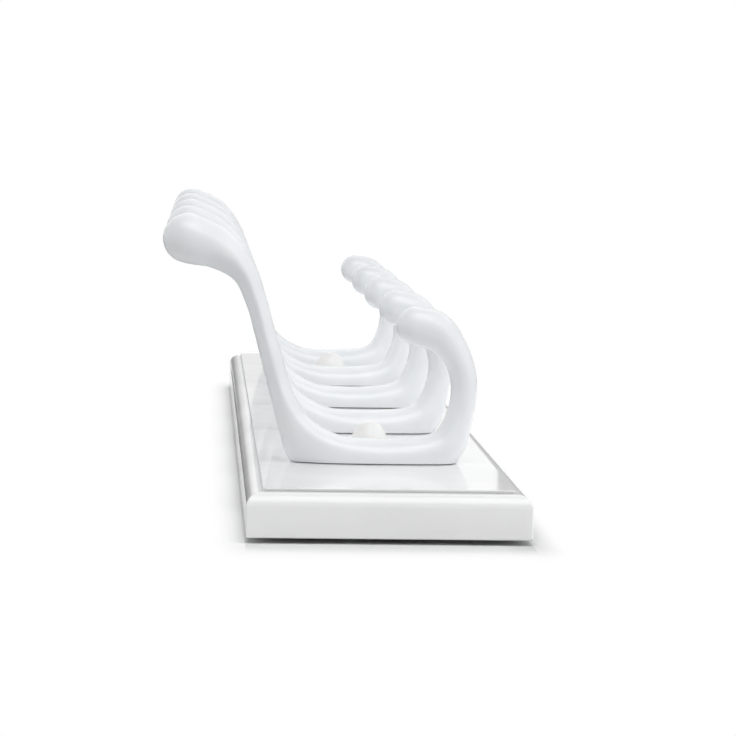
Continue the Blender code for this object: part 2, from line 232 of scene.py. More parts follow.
# Cards: where those at the back and sides stand, the seams between those at the back, and the right
# and back edges and the height of the one on the table. The edge keeps a flat card's span above zero
CARD_BACK = 2.4
CARD_FRONT = -1.9
CARD_SIDE = 1.8
BACK_HALF_WIDTH = 2.4
BACK_LEFT_SEAM = -0.08
BACK_RIGHT_SEAM = 0.305
LOW_CARD_EDGES = (-0.0615, 0.55)
LOW_CARD_HEIGHT = 0.0004
CARD_EDGE = 0.001

# Facets. The last ring of a dome stays off its pole by the pole step, a share of a ring's step
RING_POINTS = 64
STEPS_PER_STATION = 8
END_RINGS = 14
ROUND_SEGMENTS = 64
HOLE_SEGMENTS = 32
THREAD_SEGMENTS = 24
THREAD_ROWS_PER_TURN = 4
DOME_STEPS = 24
EDGE_STEPS = 16
SOFT_STEPS = 4
POLE_STEP = 0.25
SHARP_ANGLE = math.radians(40)
CUT_TOLERANCE = 2e-5


class Station(NamedTuple):
    """One section of the hook: its point in the side view, its sizes to both sides, its width, and
    the share of its size that its flat side faces take."""
    along: float
    rise: float
    inner: float
    outer: float
    width: float
    land: float


def even_station(along, rise, thickness, width, land):
    """A section with the same size to both sides of its point."""
    return Station(along, rise, thickness / 2, thickness / 2, width, land)


# Mesh helpers

def mesh_from(bm, name):
    """Turn a finished bmesh into a smooth mesh with its faces pointing out."""
    bmesh.ops.recalc_face_normals(bm, faces=bm.faces)
    mesh = bpy.data.meshes.new(name)
    bm.to_mesh(mesh)
    bm.free()
    return mesh


def bridge_rings(bm, rings):
    """Join rings of equal length with quads."""
    for lower, upper in zip(rings, rings[1:]):
        count = len(lower)
        for i in range(count):
            j = (i + 1) % count
            bm.faces.new((lower[i], lower[j], upper[j], upper[i]))


def close_rings(bm, rings):
    """Join rings with quads and close both ends."""
    bridge_rings(bm, rings)
    bm.faces.new(rings[0])
    bm.faces.new(rings[-1])


def turned_ring(bm, radius, height, segments, centre=(0.0, 0.0)):
    """A level ring of corners round an upright axis."""
    ring = []
    for i in range(segments):
        angle = 2 * math.pi * i / segments
        x = centre[0] + radius * math.cos(angle)
        y = centre[1] + radius * math.sin(angle)
        ring.append(bm.verts.new((x, y, height)))
    return ring


def add_turned(bm, profile, segments, centre=(0.0, 0.0)):
    """Add a closed turned solid: profile rows are (radius, height), from one pole to the other."""
    close_rings(bm, [turned_ring(bm, radius, height, segments, centre) for radius, height in profile])


def arc(centre, radius, start, end, steps):
    """Points of an arc in a plane, with its angles in degrees."""
    points = []
    for i in range(steps + 1):
        angle = math.radians(start + (end - start) * i / steps)
        points.append((centre[0] + radius * math.cos(angle), centre[1] + radius * math.sin(angle)))
    return points


def cut_mesh(mesh, cutter_mesh):
    """Return the mesh with the cutter's solids, which may cross each other, taken out of it."""
    body = bpy.data.objects.new("body_to_cut", mesh)
    cutter = bpy.data.objects.new("cutter", cutter_mesh)
    for obj in (body, cutter):
        bpy.context.collection.objects.link(obj)
    modifier = body.modifiers.new("cut", "BOOLEAN")
    modifier.operation = "DIFFERENCE"
    modifier.solver = "EXACT"
    modifier.use_self = True
    modifier.object = cutter
    graph = bpy.context.evaluated_depsgraph_get()
    result = bpy.data.meshes.new_from_object(body.evaluated_get(graph))
    for obj in (body, cutter):
        bpy.data.objects.remove(obj, do_unlink=True)
    return result


def add_piece(name, mesh, material, location, body, node):
    """Put a dressed piece in the place of a node of the model."""
    mesh.materials.clear()
    mesh.materials.append(material)
    mesh.shade_smooth()
    mesh.set_sharp_from_angle(angle=SHARP_ANGLE)
    piece = bpy.data.objects.new(name, mesh)
    piece.location = location
    bpy.context.collection.objects.link(piece)
    weighted = piece.modifiers.new("even_shading", "WEIGHTED_NORMAL")
    weighted.keep_sharp = True
    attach(piece, body)
    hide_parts(node)
    return piece


# Board

def board_rows(back, front):
    """Rows (inset from the outline, height) up the routed edge, from the back to the front face."""
    shelf = front - EDGE_STEP_HEIGHT
    step_inset = EDGE_ROUND_RADIUS + EDGE_LEDGE_WIDTH
    rows = arc((BACK_ARRIS, back + BACK_ARRIS), BACK_ARRIS, 270, 180, SOFT_STEPS)
    rows += arc((EDGE_ROUND_RADIUS, shelf - EDGE_ROUND_RADIUS), EDGE_ROUND_RADIUS, 180, 90, EDGE_STEPS)
    rows += arc((step_inset - STEP_FILLET, shelf + STEP_FILLET), STEP_FILLET, -90, 0, SOFT_STEPS)
    rows += arc((step_inset + FRONT_ARRIS, front - FRONT_ARRIS), FRONT_ARRIS, 180, 90, SOFT_STEPS)
    return rows


def plan_ring(bm, half_width, half_length, height):
    """A rectangle with small round corners."""
    x = half_width - PLAN_CORNER_RADIUS
    y = half_length - PLAN_CORNER_RADIUS
    points = []
    for quarter, (cx, cy) in enumerate(((x, y), (-x, y), (-x, -y), (x, -y))):
        start = 90 * quarter
        points += arc((cx, cy), PLAN_CORNER_RADIUS, start, start + 90, SOFT_STEPS)
    return [bm.verts.new((px, py, height)) for px, py in points]


def board_blank(low, high):
    """The plank with its routed edge, without holes."""
    bm = bmesh.new()
    rings = []
    for inset, height in board_rows(low.z, high.z):
        rings.append(plan_ring(bm, high.x - inset, high.y - inset, height))
    close_rings(bm, rings)
    return mesh_from(bm, "board_blank")


def board_holes(low, high, screw_points, cap_points):
    """Stepped holes: for the hooks' screws from the back, for the wall screws from the front."""
    bm = bmesh.new()
    below = low.z - BACK_ARRIS
    above = high.z + BACK_ARRIS
    recess_top = low.z + SCREW_RECESS_DEPTH
    head_radius = screw_points[0].radius + HOLE_CLEARANCE
    shank_radius = SCREW_DIAMETER / 2 + HOLE_CLEARANCE
    screw_hole = ((head_radius, below), (head_radius, recess_top),
                  (shank_radius, recess_top), (shank_radius, above))
    for point in screw_points:
        add_turned(bm, screw_hole, HOLE_SEGMENTS, (point.x, point.y))
    socket_floor = high.z - CAP_SOCKET_DEPTH
    socket_radius = CAP_PLUG_DIAMETER / 2 + HOLE_CLEARANCE
    wall_hole = ((WALL_HOLE_DIAMETER / 2, below), (WALL_HOLE_DIAMETER / 2, socket_floor),
                 (socket_radius, socket_floor), (socket_radius, above))
    for point in cap_points:
        add_turned(bm, wall_hole, HOLE_SEGMENTS, (point.x, point.y))
    return mesh_from(bm, "board_holes")


class Round(NamedTuple):
    """A round node of the model: its middle, its radius and its height range."""
    x: float
    y: float
    radius: float
    low: float
    high: float


def round_node(node):
    """Measure a round node of the model."""
    low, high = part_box(node)
    return Round((low.x + high.x) / 2, (low.y + high.y) / 2, (high.y - low.y) / 2, low.z, high.z)


# Hook

def hook_stations():
    """Sections of the casting, from the lobe down the arm, over the saddle and up the curl."""
    neck_width = (LOBE_DIAMETER + ARM_WIDTH) / 2
    fillet_width = (ARM_WIDTH + HEEL_WIDTH) / 2
    bend_width = (SADDLE_WIDTH + HEEL_WIDTH) / 2
    saddle_thickness = 2 * SADDLE_HEIGHT
    return [
        even_station(-LOBE_SETBACK, LOBE_RISE, LOBE_DIAMETER, LOBE_DIAMETER, END_LAND),
        even_station(-NECK_SETBACK, NECK_RISE, NECK_THICKNESS, neck_width, NECK_LAND),
        even_station(-SHOULDER_SETBACK, SHOULDER_RISE, SHOULDER_THICKNESS, ARM_WIDTH, ARM_LAND),
        even_station(-ARM_TOP_SETBACK, ARM_TOP_RISE, ARM_THICKNESS, ARM_WIDTH, ARM_LAND),
        even_station(-ARM_MIDDLE_SETBACK, ARM_MIDDLE_RISE, ARM_THICKNESS, ARM_WIDTH, ARM_LAND),
        Station(-ARM_FOOT_SETBACK, ARM_FOOT_RISE,
                ARM_FOOT_INNER, ARM_FOOT_OUTER, ARM_WIDTH, ARM_LAND),
        Station(-UPPER_FILLET_SETBACK, UPPER_FILLET_RISE,
                UPPER_FILLET_INNER, UPPER_FILLET_OUTER, fillet_width, NECK_LAND),
        Station(-UPPER_HEEL_SETBACK, UPPER_HEEL_RISE,
                UPPER_HEEL_INNER, UPPER_HEEL_OUTER, HEEL_WIDTH, HEEL_LAND),
        Station(-UPPER_BEND_SETBACK, UPPER_BEND_RISE,
                UPPER_BEND_INNER, SADDLE_HEIGHT, bend_width, SADDLE_LAND),
        even_station(-SADDLE_SETBACK, 0.0, saddle_thickness, SADDLE_WIDTH, SADDLE_LAND),
        even_station(SADDLE_REACH, 0.0, saddle_thickness, SADDLE_WIDTH, SADDLE_LAND),
        even_station(LOWER_BEND_REACH, LOWER_BEND_RISE, saddle_thickness, bend_width, SADDLE_LAND),
        even_station(LOWER_HEEL_REACH, LOWER_HEEL_RISE, LOWER_HEEL_THICKNESS, HEEL_WIDTH, HEEL_LAND),
        Station(CURL_FOOT_REACH, CURL_FOOT_RISE,
                CURL_FOOT_INNER, CURL_FOOT_OUTER, CURL_WIDTH, CURL_LAND),
        even_station(CURL_SIDE_REACH, CURL_SIDE_RISE, CURL_SIDE_THICKNESS, CURL_WIDTH, CURL_LAND),
        even_station(CURL_CORNER_REACH, CURL_CORNER_RISE, CURL_CORNER_THICKNESS, CURL_WIDTH, CURL_LAND),
        even_station(CURL_TOP_REACH, CURL_TOP_RISE, CURL_TOP_THICKNESS, TIP_DIAMETER, CURL_LAND),
        even_station(TIP_REACH, TIP_RISE, TIP_DIAMETER, TIP_DIAMETER, END_LAND),
    ]


def smooth_rows(stations, steps):
    """Points and slopes of a smooth curve through the stations, by their distance along the hook.

    At both ends the sizes start level, so that the ball ends join without a crease.
    """
    rows = np.array(stations)
    spans = np.linalg.norm(np.diff(rows[:, :2], axis=0), axis=1)
    rates = np.diff(rows, axis=0) / spans[:, None]
    slopes = np.empty_like(rows)
    slopes[0, :2] = rates[0, :2]
    slopes[-1, :2] = rates[-1, :2]
    slopes[[0, -1], 2:] = 0.0
    before = spans[:-1, None]
    after = spans[1:, None]
    slopes[1:-1] = (rates[:-1] * after + rates[1:] * before) / (before + after)
    points = []
    tangents = []
    for i, span in enumerate(spans):
        last = i == len(spans) - 1
        for step in range(steps + last):
            t = step / steps
            points.append(rows[i] * (2 * t**3 - 3 * t**2 + 1) + rows[i + 1] * (3 * t**2 - 2 * t**3)
                          + span * (slopes[i] * (t**3 - 2 * t**2 + t) + slopes[i + 1] * (t**3 - t**2)))
            tangents.append((rows[i] * (6 * t**2 - 6 * t) + rows[i + 1] * (6 * t - 6 * t**2)) / span
                            + slopes[i] * (3 * t**2 - 4 * t + 1) + slopes[i + 1] * (3 * t**2 - 2 * t))
    return points, tangents


def section_point(angle, land, power):
    """A point of a soft octagon of half size 1: round at power 2, with crisper ridges above it."""
    cut = 1 - EDGE_LAND * land
    edge_tilt = (1 - EDGE_LAND) / cut
    face_tilt = (1 - land) / cut

    def size(across, side):
        distances = (across, side, edge_tilt * across + face_tilt * side,
                     edge_tilt * across - face_tilt * side)
        return sum(abs(distance) ** power for distance in distances) ** (1 / power)

    across = math.cos(angle)
    side = math.sin(angle)
    scale = size(across, side)
    return across * size(1.0, 0.0) / scale, side * size(0.0, 1.0) / scale


def section_ring(bm, centre, normal, sizes, land, power=SECTION_POWER):
    """One section of the hook, square to its run: a flat face to each side and bevels between."""
    inner, outer, width = sizes
    ring = []
    for i in range(RING_POINTS):
        angle = 2 * math.pi * i / RING_POINTS
        across, side = section_point(angle, land, power)
        offset = normal * (across * (inner if across > 0 else outer))
        ring.append(bm.verts.new((centre.x + offset.x, side * width / 2, centre.z + offset.z)))
    return ring


def end_rings(bm, centre, outward, normal, sizes, land):
    """Rings of a ball end, from its rim out to a small flat at the pole, where it is fully round."""
    rings = []
    for i in range(1, END_RINGS + 1):
        angle = math.pi / 2 * i / (END_RINGS + POLE_STEP)
        middle = centre + outward * (sizes[0] * BALL_REACH * math.sin(angle))
        power = ROUND_POWER + (SECTION_POWER - ROUND_POWER) * math.cos(angle)
        rings.append(section_ring(bm, middle, normal, sizes * math.cos(angle), land, power))
    return rings


def open_loop(bm):
    """The corners of the one open edge loop, in order, anticlockwise from above."""
    edges = [edge for edge in bm.edges if edge.is_boundary]
    start = edges[0].verts[0]
    loop = [start]
    edge = edges[0]
    corner = edge.other_vert(start)
    while corner is not start:
        loop.append(corner)
        edge = next(e for e in corner.link_edges if e.is_boundary and e is not edge)
        corner = edge.other_vert(corner)
    area = sum(a.co.x * b.co.y - b.co.x * a.co.y for a, b in zip(loop, loop[1:] + loop[:1]))
    return loop if area > 0 else loop[::-1]


def round_seat(bm):
    """Turn the cut edge of the casting under, down to its flat seat."""
    loop = open_loop(bm)
    count = len(loop)
    inward = []
    for i, corner in enumerate(loop):
        run = loop[(i + 1) % count].co - loop[i - 1].co
        inward.append(Vector((-run.y, run.x, 0.0)).normalized())
    rings = [loop]
    for step in range(1, SOFT_STEPS + 1):
        angle = math.pi / 2 * step / SOFT_STEPS
        inset = SEAT_ROUND * (1 - math.cos(angle))
        height = SEAT_ROUND * (1 - math.sin(angle))
        ring = []
        for corner, direction in zip(loop, inward):
            place = corner.co + direction * inset
            ring.append(bm.verts.new((place.x, place.y, height)))
        rings.append(ring)
    bridge_rings(bm, rings)
    bm.faces.new(rings[-1])


def hook_blank():
    """The casting as one loft, cut flat at its seat."""
    points, tangents = smooth_rows(hook_stations(), STEPS_PER_STATION)
    bm = bmesh.new()
    loft = []
    last = len(points) - 1
    for i, (point, slope) in enumerate(zip(points, tangents)):
        run = Vector((slope[0], 0.0, slope[1])).normalized()
        normal = Vector((-run.z, 0.0, run.x))
        centre = Vector((point[0], 0.0, point[1]))
        sizes = point[2:5]
        land = point[5]
        if i == 0:
            loft += end_rings(bm, centre, -run, normal, sizes, land)[::-1]
        loft.append(section_ring(bm, centre, normal, sizes, land))
        if i == last:
            loft += end_rings(bm, centre, run, normal, sizes, land)
    close_rings(bm, loft)
    everything = list(bm.verts) + list(bm.edges) + list(bm.faces)
    bmesh.ops.bisect_plane(bm, geom=everything, dist=CUT_TOLERANCE, plane_co=(0.0, 0.0, SEAT_ROUND),
                           plane_no=(0.0, 0.0, 1.0), clear_inner=True)
    round_seat(bm)
    return mesh_from(bm, "hook_blank")


def hook_screw_holes():
    """Blind holes in the saddle for the two screws."""
    bm = bmesh.new()
    radius = SCREW_DIAMETER / 2 + HOLE_CLEARANCE
    hole = ((radius, -SADDLE_HEIGHT), (radius, SCREW_GRIP + HOLE_CLEARANCE))
    for along in (-SCREW_SETBACK, SCREW_SETBACK):
        add_turned(bm, hole, HOLE_SEGMENTS, (along, 0.0))
    return mesh_from(bm, "hook_screw_holes")


# Screws, caps and pads

def thread_rings(bm, bottom, top):
    """Rings of a shank with a screw thread: each corner's radius follows the helix."""
    core = SCREW_CORE_DIAMETER / 2
    depth = SCREW_DIAMETER / 2 - core
    count = round((top - bottom) / SCREW_PITCH * THREAD_ROWS_PER_TURN)
    rings = []
    for row in range(count + 1):
        height = bottom + (top - bottom) * row / count
        ring = []
        for i in range(THREAD_SEGMENTS):
            turn = i / THREAD_SEGMENTS
            phase = (height / SCREW_PITCH - turn) % 1.0
            radius = core + depth * (1 - abs(2 * phase - 1))
            angle = 2 * math.pi * turn
            ring.append(bm.verts.new((radius * math.cos(angle), radius * math.sin(angle), height)))
        rings.append(ring)
    return rings


def screw_blank(head_radius, length):
    """A pan-head screw that stands on its head, from the crown at height 0 up to its point."""
    bm = bmesh.new()
    round_centre = (head_radius - SCREW_HEAD_ROUND, SCREW_HEAD_ROUND)
    crown_radius = round_centre[0] - SCREW_HEAD_CROWN
    head = [(crown_radius / 2, 0.0), (crown_radius, SCREW_HEAD_CROWN / SOFT_STEPS)]
    head += arc(round_centre, SCREW_HEAD_ROUND, SCREW_HEAD_ARC_START, 0, SOFT_STEPS)
    head += [(head_radius, SCREW_HEAD_HEIGHT)]
    rings = [turned_ring(bm, radius, height, THREAD_SEGMENTS) for radius, height in head]
    rings += thread_rings(bm, SCREW_HEAD_HEIGHT, length - SCREW_POINT_LENGTH)
    rings.append(turned_ring(bm, SCREW_DIAMETER / 2 - SCREW_POINT_LENGTH, length, THREAD_SEGMENTS))
    close_rings(bm, rings)
    return mesh_from(bm, "screw_blank")


def cross_recess():
    """The cross in a screw's head: two crossed slots that narrow inwards."""
    bm = bmesh.new()
    for turn in (0, 1):
        rings = []
        for height, scale in ((-CROSS_WIDTH, 1.0), (0.0, 1.0), (CROSS_DEPTH, CROSS_TAPER)):
            x = CROSS_LENGTH / 2 * scale
            y = CROSS_WIDTH / 2 * scale
            corners = ((x, y), (-x, y), (-x, -y), (x, -y))
            if turn:
                corners = tuple((-cy, cx) for cx, cy in corners)
            rings.append([bm.verts.new((cx, cy, height)) for cx, cy in corners])
        close_rings(bm, rings)
    return mesh_from(bm, "cross_recess")


def cap_mesh(seat, node):
    """A domed cap with a plug, with its height measured from its seat."""
    bm = bmesh.new()
    plug_radius = CAP_PLUG_DIAMETER / 2
    plug_end = node.low - seat
    profile = [(plug_radius - CAP_PLUG_LEAD, plug_end), (plug_radius, plug_end + CAP_PLUG_LEAD)]
    profile += [(plug_radius, 0.0)]
    profile += arc((node.radius - CAP_RIM_ROUND, CAP_RIM_ROUND), CAP_RIM_ROUND, -90, 0, SOFT_STEPS)
    dome_height = node.high - seat - CAP_RIM_HEIGHT
    for i in range(DOME_STEPS):
        angle = math.pi / 2 * i / (DOME_STEPS - 1 + POLE_STEP)
        profile.append((node.radius * math.cos(angle), CAP_RIM_HEIGHT + dome_height * math.sin(angle)))
    add_turned(bm, profile, ROUND_SEGMENTS)
    return mesh_from(bm, "screw_cap")


def pad_mesh(node):
    """A felt disc with soft edges."""
    bm = bmesh.new()
    inner = node.radius - PAD_SOFT_EDGE
    height = node.high - node.low
    profile = arc((inner, PAD_SOFT_EDGE), PAD_SOFT_EDGE, -90, 0, SOFT_STEPS)
    profile += arc((inner, height - PAD_SOFT_EDGE), PAD_SOFT_EDGE, 0, 90, SOFT_STEPS)
    add_turned(bm, profile, ROUND_SEGMENTS)
    return mesh_from(bm, "back_pad")


# Materials

def add_node(tree, kind, values=None, links=None, **settings):
    """Add a node, set its fields and sockets, and link sockets to it."""
    node = tree.nodes.new(kind)
    for key, value in settings.items():
        setattr(node, key, value)
    for key, value in (values or {}).items():
        node.inputs[key].default_value = value
    for key, socket in (links or {}).items():
        tree.links.new(socket, node.inputs[key])
    return node


def new_material(name):
    """A new material, its node tree and its shader."""
    material = bpy.data.materials.new(name)
    material.use_nodes = True
    tree = material.node_tree
    return material, tree, tree.nodes["Principled BSDF"]


def noise(tree, scale, detail):
    """Noise in the piece's own coordinates, different on each piece."""
    coords = add_node(tree, "ShaderNodeTexCoord")
    info = add_node(tree, "ShaderNodeObjectInfo")
    texture = add_node(tree, "ShaderNodeTexNoise", {"Scale": scale, "Detail": detail},
                       {"Vector": coords.outputs["Object"], "W": info.outputs["Random"]},
                       noise_dimensions="4D")
    return texture.outputs[0]


def between(tree, factor, low, high):
    """A value that runs from low to high with the middle range of a noise."""
    start, end = NOISE_MIDDLE
    scaled = add_node(tree, "ShaderNodeMapRange",
                      {"From Min": start, "From Max": end, "To Min": low, "To Max": high},
                      {"Value": factor})
    return scaled.outputs["Result"]


def tint(tree, factor, dark, light):
    """A colour that runs from dark to light with the middle range of a noise."""
    blend = add_node(tree, "ShaderNodeValToRGB", links={"Fac": factor})
    for stop, position, colour in zip(blend.color_ramp.elements, NOISE_MIDDLE, (dark, light)):
        stop.position = position
        stop.color = (*colour, 1.0)
    return blend.outputs["Color"]


def bumps(tree, *layers):
    """A normal from layers of (height socket, depth in metres), the coarsest first."""
    normal = None
    for height, depth in layers:
        links = {"Height": height}
        if normal is not None:
            links["Normal"] = normal
        bump = add_node(tree, "ShaderNodeBump", {"Strength": 1.0, "Distance": depth}, links)
        normal = bump.outputs["Normal"]
    return normal


def with_crease_shade(tree, colour):
    """A colour darkened in the piece's own creases, where little open sky is seen: painted shade."""
    open_sky = add_node(tree, "ShaderNodeAmbientOcclusion", {"Distance": CREASE_SHADE_REACH}, only_local=True)
    fully_shaded, unshaded = CREASE_SHADE_OPENNESS
    shade = add_node(tree, "ShaderNodeMapRange",
                     {"From Min": fully_shaded, "From Max": unshaded, "To Min": CREASE_SHADE_DARKEST},
                     {"Value": open_sky.outputs["AO"]})
    crease_shaded = add_node(tree, "ShaderNodeVectorMath", links={0: colour, "Scale": shade.outputs["Result"]},
                      operation="SCALE")
    return crease_shaded.outputs[0]


def gloss_paint(name, colours, roughness, peel, waves):
    """Gloss paint or enamel: a hint of mottle, painted shade in creases, uneven gloss, orange peel, slow
    waves.
    """
    material, tree, shader = new_material(name)
    peel_scale, peel_depth = peel
    wave_scale, wave_depth = waves
    fine = noise(tree, peel_scale, detail=2.0)
    slow = noise(tree, wave_scale, detail=1.0)
    # The base colour carries painted shade in the creases
    tree.links.new(with_crease_shade(tree, tint(tree, slow, *colours)), shader.inputs["Base Color"])
    tree.links.new(between(tree, slow, *roughness), shader.inputs["Roughness"])
    tree.links.new(bumps(tree, (slow, wave_depth), (fine, peel_depth)), shader.inputs["Normal"])
    shader.inputs["IOR"].default_value = GLOSS_IOR
    return material


def cap_plastic():
    """Warm white moulded plastic with a satin grain."""
    material, tree, shader = new_material("cap_plastic")
    grain = noise(tree, scale=1400.0, detail=3.0)
    cloud = noise(tree, scale=120.0, detail=2.0)
    tree.links.new(tint(tree, cloud, (0.83, 0.83, 0.82), (0.86, 0.855, 0.85)), shader.inputs["Base Color"])
    tree.links.new(between(tree, grain, 0.32, 0.46), shader.inputs["Roughness"])
    tree.links.new(bumps(tree, (grain, 1e-5)), shader.inputs["Normal"])
    shader.inputs["Subsurface Weight"].default_value = 0.15
    shader.inputs["Subsurface Radius"].default_value = (1.0, 0.8, 0.6)
    shader.inputs["Subsurface Scale"].default_value = 0.002
    return material


def zinc_plate():
    """Bright zinc with a faint blue and yellow passivation."""
    material, tree, shader = new_material("zinc_plate")
    cloud = noise(tree, scale=300.0, detail=3.0)
    grain = noise(tree, scale=3000.0, detail=2.0)
    tree.links.new(tint(tree, cloud, (0.54, 0.56, 0.60), (0.68, 0.67, 0.62)), shader.inputs["Base Color"])
    tree.links.new(between(tree, grain, 0.24, 0.42), shader.inputs["Roughness"])
    tree.links.new(bumps(tree, (grain, 1e-5)), shader.inputs["Normal"])
    shader.inputs["Metallic"].default_value = 1.0
    return material


def pad_felt():
    """Dark grey felt: tangled fibres with a soft sheen."""
    material, tree, shader = new_material("pad_felt")
    fibre = noise(tree, scale=2600.0, detail=6.0)
    tuft = noise(tree, scale=500.0, detail=4.0)
    tree.links.new(tint(tree, fibre, (0.10, 0.10, 0.11), (0.22, 0.22, 0.23)), shader.inputs["Base Color"])
    tree.links.new(bumps(tree, (tuft, 2e-4), (fibre, 1e-4)), shader.inputs["Normal"])
    shader.inputs["Roughness"].default_value = 0.95
    shader.inputs["Sheen Weight"].default_value = 0.3
    shader.inputs["Sheen Roughness"].default_value = 0.6
    return material


# Pieces

def make_pieces(frame):
    """Put a finer, dressed piece in the place of every node of the model."""
    paint = gloss_paint("white_paint", PAINT_COLOURS, PAINT_ROUGHNESS, PAINT_PEEL, PAINT_WAVES)
    enamel = gloss_paint("white_enamel", ENAMEL_COLOURS, ENAMEL_ROUGHNESS, ENAMEL_PEEL, ENAMEL_WAVES)
    plastic = cap_plastic()
    zinc = zinc_plate()
    felt = pad_felt()

    nodes = sorted(frame["nodes"])
    hooks = [name for name in nodes if name.startswith("hook_") and "screw" not in name]
    screws = [name for name in nodes if "_screw_" in name]
    caps = [name for name in nodes if name.startswith("screw_cap")]
    pads = [name for name in nodes if name.startswith("back_pad")]

    low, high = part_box("board")
    screw_rounds = [round_node(name) for name in screws]
    cap_rounds = [round_node(name) for name in caps]
    board = cut_mesh(board_blank(low, high), board_holes(low, high, screw_rounds, cap_rounds))
    board.name = "painted_board"
    add_piece("painted_board", board, paint, (0.0, 0.0, 0.0), "rack", "board")

    hook = cut_mesh(hook_blank(), hook_screw_holes())
    for name in hooks:
        low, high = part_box(name)
        place = (HOOK_SHIFT, (low.y + high.y) / 2, low.z)
        add_piece("enamelled_" + name, hook.copy(), enamel, place, "rack", name)

    first = screw_rounds[0]
    screw = cut_mesh(screw_blank(first.radius, first.high - first.low), cross_recess())
    for name, point in zip(screws, screw_rounds):
        place = (point.x, point.y, point.low)
        add_piece("zinc_" + name, screw.copy(), zinc, place, "rack", name)

    cap_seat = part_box(hooks[0])[0].z
    cap = cap_mesh(cap_seat, cap_rounds[0])
    for number, (name, point) in enumerate(zip(caps, cap_rounds), start=1):
        place = (point.x, point.y, cap_seat)
        add_piece("domed_" + name, cap.copy(), plastic, place, f"cap_{number}", name)

    pad = pad_mesh(round_node(pads[0]))
    for name in pads:
        point = round_node(name)
        place = (point.x, point.y, point.low)
        add_piece("felt_" + name, pad.copy(), felt, place, "rack", name)


# Stage, light and camera

def make_camera():
    """A camera at the fitted place, turned by yaw, then pitch, then roll."""
    forward = Vector((math.sin(CAMERA_YAW) * math.cos(CAMERA_PITCH),
                      math.cos(CAMERA_YAW) * math.cos(CAMERA_PITCH),
                      -math.sin(CAMERA_PITCH)))
    level = Vector((math.cos(CAMERA_YAW), -math.sin(CAMERA_YAW), 0.0))
    down = forward.cross(level)
    right = level * math.cos(CAMERA_ROLL) + down * math.sin(CAMERA_ROLL)
    up = forward.cross(right) * -1
    data = bpy.data.cameras.new("camera")
    data.sensor_fit = "HORIZONTAL"
    data.sensor_width = SENSOR_WIDTH_MM
    data.lens = SENSOR_WIDTH_MM * FOCAL_PIXELS / FRAME_PIXELS
    camera = bpy.data.objects.new("camera", data)
    rotation = Matrix((right, up, -forward)).transposed().to_4x4()
    camera.matrix_world = Matrix.Translation(CAMERA_PLACE) @ rotation
    bpy.context.collection.objects.link(camera)
    bpy.context.scene.camera = camera


def area_lamp(name, place, aim, size, watts, mirrored):
    """A softbox, size = (width, height). Where the gloss doesn't mirror it, it shows the white room."""
    data = bpy.data.lights.new(name, "AREA")
    data.shape = "RECTANGLE"
    data.size, data.size_y = size
    data.energy = watts
    lamp = bpy.data.objects.new(name, data)
    lamp.location = place
    lamp.rotation_euler = (Vector(aim) - Vector(place)).to_track_quat("-Z", "Y").to_euler()
    lamp.visible_camera = False
    lamp.visible_glossy = mirrored
    bpy.context.collection.objects.link(lamp)


def greater(tree, first, second):
    """The greater of two values."""
    return add_node(tree, "ShaderNodeMath", links={0: first, 1: second}, operation="MAXIMUM").outputs[0]


def product(tree, first, second):
    """The product of two values."""
    return add_node(tree, "ShaderNodeMath", links={0: first, 1: second}, operation="MULTIPLY").outputs[0]


def make_world():
    """White where it is seen, a softer cool light where it only lights the scene."""
    world = bpy.data.worlds.new("studio")
    bpy.context.scene.world = world
    world.use_nodes = True
    tree = world.node_tree
    tree.nodes.clear()
    path = add_node(tree, "ShaderNodeLightPath").outputs
    mirrored = greater(tree, path["Is Glossy Ray"], path["Is Transmission Ray"])
    seen = greater(tree, path["Is Camera Ray"], mirrored)
    ambient = add_node(tree, "ShaderNodeBackground",
                       {"Color": AMBIENT_COLOUR, "Strength": AMBIENT_STRENGTH})
    white = add_node(tree, "ShaderNodeBackground", {"Color": WHITE, "Strength": 1.0})
    mix = add_node(tree, "ShaderNodeMixShader", links={0: seen})
    tree.links.new(ambient.outputs[0], mix.inputs[1])
    tree.links.new(white.outputs[0], mix.inputs[2])
    add_node(tree, "ShaderNodeOutputWorld", links={"Surface": mix.outputs[0]})


def plane_object(name, material, corners):
    """A flat piece of the stage with four corners."""
    mesh = bpy.data.meshes.new(name)
    mesh.from_pydata(corners, [], [(0, 1, 2, 3)])
    mesh.materials.append(material)
    obj = bpy.data.objects.new(name, mesh)
    bpy.context.collection.objects.link(obj)
    return obj


def ramp(tree, distance, span, values):
    """A value that runs smoothly from one to the other of two values over a span of distances."""
    node = add_node(tree, "ShaderNodeMapRange",
                    {"From Min": span[0], "From Max": span[1], "To Min": values[0], "To Max": values[1]},
                    {"Value": distance}, interpolation_type="SMOOTHSTEP")
    return node.outputs["Result"]


def away(tree, offset, reach, values):
    """A value that runs from one to the other of two values with an offset's share of a reach."""
    share = add_node(tree, "ShaderNodeVectorMath", {1: reach}, {0: offset}, operation="DIVIDE")
    length = add_node(tree, "ShaderNodeVectorMath", links={0: share.outputs[0]}, operation="LENGTH")
    return ramp(tree, length.outputs["Value"], (0.0, 1.0), values)


